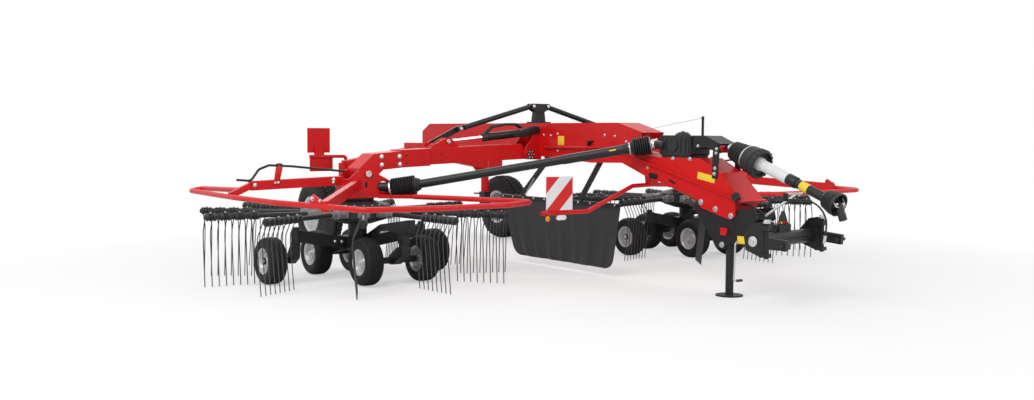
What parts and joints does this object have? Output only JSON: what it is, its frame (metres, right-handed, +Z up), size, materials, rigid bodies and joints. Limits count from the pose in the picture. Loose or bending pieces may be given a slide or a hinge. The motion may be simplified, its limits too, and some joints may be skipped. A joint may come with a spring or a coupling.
{
  "type": "rotary hay rake",
  "caption": "Trailed rotary hay rake with tined rotors on lifting arms, a steered rear axle, a central beam and a tractor hitch.",
  "frame": {"origin": "middle of the whole machine's footprint, at ground level, as it stands parked with its rotors lowered", "axes": "+X forward to the hitch, +Y to the machine's left, +Z up"},
  "size_m": [6.5819, 6.9905, 1.621],
  "materials": {
    "red_paint": "gloss",
    "dark_paint": "satin",
    "dark_steel": "satin",
    "dark_casting": "matt",
    "chrome_rod": "polished",
    "zinc": "satin",
    "guard_plastic": "matt",
    "hose_rubber": "matt",
    "tyre": "matt",
    "board_sheet": "reflective",
    "lamp_glass": "gloss",
    "curtain_cloth": "matt"
  },
  "bodies": {
    "frame": {"main_beam": "red_paint", "tripod": "dark_paint", "gearbox": "dark_casting", "gearbox_cover": "dark_paint", "rear_axle": "red_paint", "drawbar": "dark_paint", "hose_coupler": "zinc", "pto_guard": "guard_plastic", "boards": "board_sheet", "board_arms": "red_paint", "lamps": "lamp_glass", "hose_front": "hose_rubber", "hose_nose": "hose_rubber", "curtain": "curtain_cloth", "curtain_struts": "dark_paint"},
    "pto_slider": {"pto_slider": "guard_plastic"},
    "jack": {"jack_leg": "dark_paint"},
    "headstock": {"headstock": "dark_paint"},
    "arm_right": {"arm_right": "red_paint", "bracket_right": "red_paint", "hoop_right": "red_paint", "carriage_right": "dark_paint", "leg_outer_right": "dark_paint", "leg_inner_right": "dark_paint"},
    "rotor_right": {"rotor_hub_right": "dark_casting", "tine_arms_right": "dark_steel"},
    "caster_right": {"caster_front_right": "dark_paint"},
    "wheels_front_right": {"wheels_front_right": "tyre"},
    "wheels_rear_right": {"wheels_rear_right": "tyre"},
    "wheel_outer_right": {"wheel_outer_right": "tyre"},
    "wheel_inner_right": {"wheel_inner_right": "tyre"},
    "transport_wheel_right": {"transport_wheel_right": "tyre"},
    "knuckle_right": {"knuckle_right": "dark_paint"},
    "cylinder_barrel_right": {"cylinder_barrel_right": "dark_paint"},
    "cylinder_rod_right": {"cylinder_rod_right": "chrome_rod"},
    "stay_tube_right": {"stay_tube_right": "dark_paint"},
    "stay_link_right": {"stay_link_right": "dark_paint"},
    "drive_outer_right": {"drive_outer_right": "guard_plastic"},
    "drive_inner_right": {"drive_inner_right": "guard_plastic"},
    "arm_left": {"arm_left": "red_paint", "bracket_left": "red_paint", "hoop_left": "red_paint", "carriage_left": "dark_paint", "leg_outer_left": "dark_paint", "leg_inner_left": "dark_paint"},
    "rotor_left": {"rotor_hub_left": "dark_casting", "tine_arms_left": "dark_steel"},
    "caster_left": {"caster_front_left": "dark_paint"},
    "wheels_front_left": {"wheels_front_left": "tyre"},
    "wheels_rear_left": {"wheels_rear_left": "tyre"},
    "wheel_outer_left": {"wheel_outer_left": "tyre"},
    "wheel_inner_left": {"wheel_inner_left": "tyre"},
    "transport_wheel_left": {"transport_wheel_left": "tyre"},
    "knuckle_left": {"knuckle_left": "dark_paint"},
    "cylinder_barrel_left": {"cylinder_barrel_left": "dark_paint"},
    "cylinder_rod_left": {"cylinder_rod_left": "chrome_rod"},
    "stay_tube_left": {"stay_tube_left": "dark_paint"},
    "stay_link_left": {"stay_link_left": "dark_paint"},
    "drive_outer_left": {"drive_outer_left": "guard_plastic"},
    "drive_inner_left": {"drive_inner_left": "guard_plastic"}
  },
  "joints": [
    {"name": "arm_lift_right", "type": "hinge", "parent": "frame", "child": "arm_right", "pos_m": [-0.41798, -0.27, 1.115], "axis": [-1, 0, 0], "range_deg": [0, 85]},
    {"name": "rotor_spin_right", "type": "hinge", "parent": "arm_right", "child": "rotor_right", "pos_m": [-0.45398, -2.083, 0.6], "axis": [0, 0, 1], "continuous": true},
    {"name": "caster_swivel_right", "type": "hinge", "parent": "arm_right", "child": "caster_right", "pos_m": [0.19902, -1.975, 0.4], "axis": [0, 0, 1], "range_deg": [-27, 27]},
    {"name": "front_roll_right", "type": "hinge", "parent": "caster_right", "child": "wheels_front_right", "pos_m": [0.03402, -1.975, 0.205], "axis": [0, 1, 0], "continuous": true},
    {"name": "rear_roll_right", "type": "hinge", "parent": "arm_right", "child": "wheels_rear_right", "pos_m": [-0.88998, -2.083, 0.205], "axis": [0, 1, 0], "continuous": true},
    {"name": "outer_roll_right", "type": "hinge", "parent": "arm_right", "child": "wheel_outer_right", "pos_m": [-0.48998, -2.906, 0.205], "axis": [0, 1, 0], "continuous": true},
    {"name": "inner_roll_right", "type": "hinge", "parent": "arm_right", "child": "wheel_inner_right", "pos_m": [-0.48998, -1.26, 0.205], "axis": [0, 1, 0], "continuous": true},
    {"name": "knuckle_steer_right", "type": "hinge", "parent": "frame", "child": "knuckle_right", "pos_m": [-2.89798, -0.985, 0.75], "axis": [0, 0, 1], "range_deg": [-25, 25]},
    {"name": "transport_roll_right", "type": "hinge", "parent": "knuckle_right", "child": "transport_wheel_right", "pos_m": [-2.89798, -1.275, 0.393], "axis": [0, 1, 0], "continuous": true},
    {"name": "cylinder_swing_right", "type": "hinge", "parent": "frame", "child": "cylinder_barrel_right", "pos_m": [-0.41798, -0.2, 1.33], "axis": [-1, 0, 0], "range_deg": [-1.5, 94.95]},
    {"name": "cylinder_stroke_right", "type": "slide", "parent": "cylinder_barrel_right", "child": "cylinder_rod_right", "axis": [0, -0.9956, -0.0936], "range_m": [-0.2893, 0.008]},
    {"name": "stay_swing_right", "type": "hinge", "parent": "frame", "child": "stay_tube_right", "pos_m": [-0.49798, -0.09, 1.595], "axis": [-1, 0, 0], "range_deg": [-1.5, 107.63]},
    {"name": "stay_link_fold_right", "type": "hinge", "parent": "arm_right", "child": "stay_link_right", "pos_m": [-0.53998, -1.3, 1.195], "axis": [-1, 0, 0], "range_deg": [-119.81, 1.5]},
    {"name": "drive_swing_right", "type": "hinge", "parent": "frame", "child": "drive_outer_right", "pos_m": [1.26202, -0.175, 1.215], "axis": [-0.999, -0.0328, -0.032], "range_deg": [-1.5, 85.69]},
    {"name": "drive_slide_right", "type": "slide", "parent": "drive_outer_right", "child": "drive_inner_right", "axis": [-0.6567, -0.7335, -0.1753], "range_m": [-0.1401, 0.008]},
    {"name": "arm_lift_left", "type": "hinge", "parent": "frame", "child": "arm_left", "pos_m": [-0.41798, 0.27, 1.115], "axis": [1, 0, 0], "range_deg": [0, 85]},
    {"name": "rotor_spin_left", "type": "hinge", "parent": "arm_left", "child": "rotor_left", "pos_m": [-0.45398, 2.083, 0.6], "axis": [0, 0, 1], "continuous": true},
    {"name": "caster_swivel_left", "type": "hinge", "parent": "arm_left", "child": "caster_left", "pos_m": [0.19902, 1.975, 0.4], "axis": [0, 0, 1], "range_deg": [-27, 27]},
    {"name": "front_roll_left", "type": "hinge", "parent": "caster_left", "child": "wheels_front_left", "pos_m": [0.03402, 1.975, 0.205], "axis": [0, 1, 0], "continuous": true},
    {"name": "rear_roll_left", "type": "hinge", "parent": "arm_left", "child": "wheels_rear_left", "pos_m": [-0.88998, 2.083, 0.205], "axis": [0, 1, 0], "continuous": true},
    {"name": "outer_roll_left", "type": "hinge", "parent": "arm_left", "child": "wheel_outer_left", "pos_m": [-0.48998, 2.906, 0.205], "axis": [0, 1, 0], "continuous": true},
    {"name": "inner_roll_left", "type": "hinge", "parent": "arm_left", "child": "wheel_inner_left", "pos_m": [-0.48998, 1.26, 0.205], "axis": [0, 1, 0], "continuous": true},
    {"name": "knuckle_steer_left", "type": "hinge", "parent": "frame", "child": "knuckle_left", "pos_m": [-2.89798, 0.985, 0.75], "axis": [0, 0, 1], "range_deg": [-25, 25]},
    {"name": "transport_roll_left", "type": "hinge", "parent": "knuckle_left", "child": "transport_wheel_left", "pos_m": [-2.89798, 1.275, 0.393], "axis": [0, 1, 0], "continuous": true},
    {"name": "cylinder_swing_left", "type": "hinge", "parent": "frame", "child": "cylinder_barrel_left", "pos_m": [-0.41798, 0.2, 1.33], "axis": [1, 0, 0], "range_deg": [-1.5, 94.95]},
    {"name": "cylinder_stroke_left", "type": "slide", "parent": "cylinder_barrel_left", "child": "cylinder_rod_left", "axis": [0, 0.9956, -0.0936], "range_m": [-0.2893, 0.008]},
    {"name": "stay_swing_left", "type": "hinge", "parent": "frame", "child": "stay_tube_left", "pos_m": [-0.49798, 0.09, 1.595], "axis": [1, 0, 0], "range_deg": [-1.5, 107.63]},
    {"name": "stay_link_fold_left", "type": "hinge", "parent": "arm_left", "child": "stay_link_left", "pos_m": [-0.53998, 1.3, 1.195], "axis": [1, 0, 0], "range_deg": [-119.81, 1.5]},
    {"name": "drive_swing_left", "type": "hinge", "parent": "frame", "child": "drive_outer_left", "pos_m": [1.26202, 0.175, 1.215], "axis": [0.999, -0.0328, 0.032], "range_deg": [-1.5, 85.69]},
    {"name": "drive_slide_left", "type": "slide", "parent": "drive_outer_left", "child": "drive_inner_left", "axis": [-0.6567, 0.7335, -0.1753], "range_m": [-0.1401, 0.008]},
    {"name": "headstock_turn", "type": "hinge", "parent": "frame", "child": "headstock", "pos_m": [2.55202, 0, 0.51], "axis": [0, 0, 1], "range_deg": [-53, 37]},
    {"name": "jack_raise", "type": "slide", "parent": "frame", "child": "jack", "axis": [0, 0, 1], "range_m": [0, 0.25]},
    {"name": "pto_slide", "type": "slide", "parent": "frame", "child": "pto_slider", "axis": [0.9374, 0, -0.3482], "range_m": [0, 0.35]}
  ],
  "couplings": [
    {"joint": "knuckle_steer_right", "follows": "headstock_turn", "ratio": -0.4},
    {"joint": "cylinder_swing_right", "follows": "arm_lift_right", "ratio": 1.0994},
    {"joint": "cylinder_stroke_right", "follows": "arm_lift_right", "m_per_rad": -0.18963},
    {"joint": "stay_swing_right", "follows": "arm_lift_right", "ratio": 1.2486},
    {"joint": "stay_link_fold_right", "follows": "arm_lift_right", "ratio": -1.3919},
    {"joint": "drive_swing_right", "follows": "arm_lift_right", "ratio": 0.99048},
    {"joint": "drive_slide_right", "follows": "arm_lift_right", "m_per_rad": -0.08902},
    {"joint": "knuckle_steer_left", "follows": "headstock_turn", "ratio": -0.4},
    {"joint": "cylinder_swing_left", "follows": "arm_lift_left", "ratio": 1.0994},
    {"joint": "cylinder_stroke_left", "follows": "arm_lift_left", "m_per_rad": -0.18963},
    {"joint": "stay_swing_left", "follows": "arm_lift_left", "ratio": 1.2486},
    {"joint": "stay_link_fold_left", "follows": "arm_lift_left", "ratio": -1.3919},
    {"joint": "drive_swing_left", "follows": "arm_lift_left", "ratio": 0.99048},
    {"joint": "drive_slide_left", "follows": "arm_lift_left", "m_per_rad": -0.08902}
  ]
}
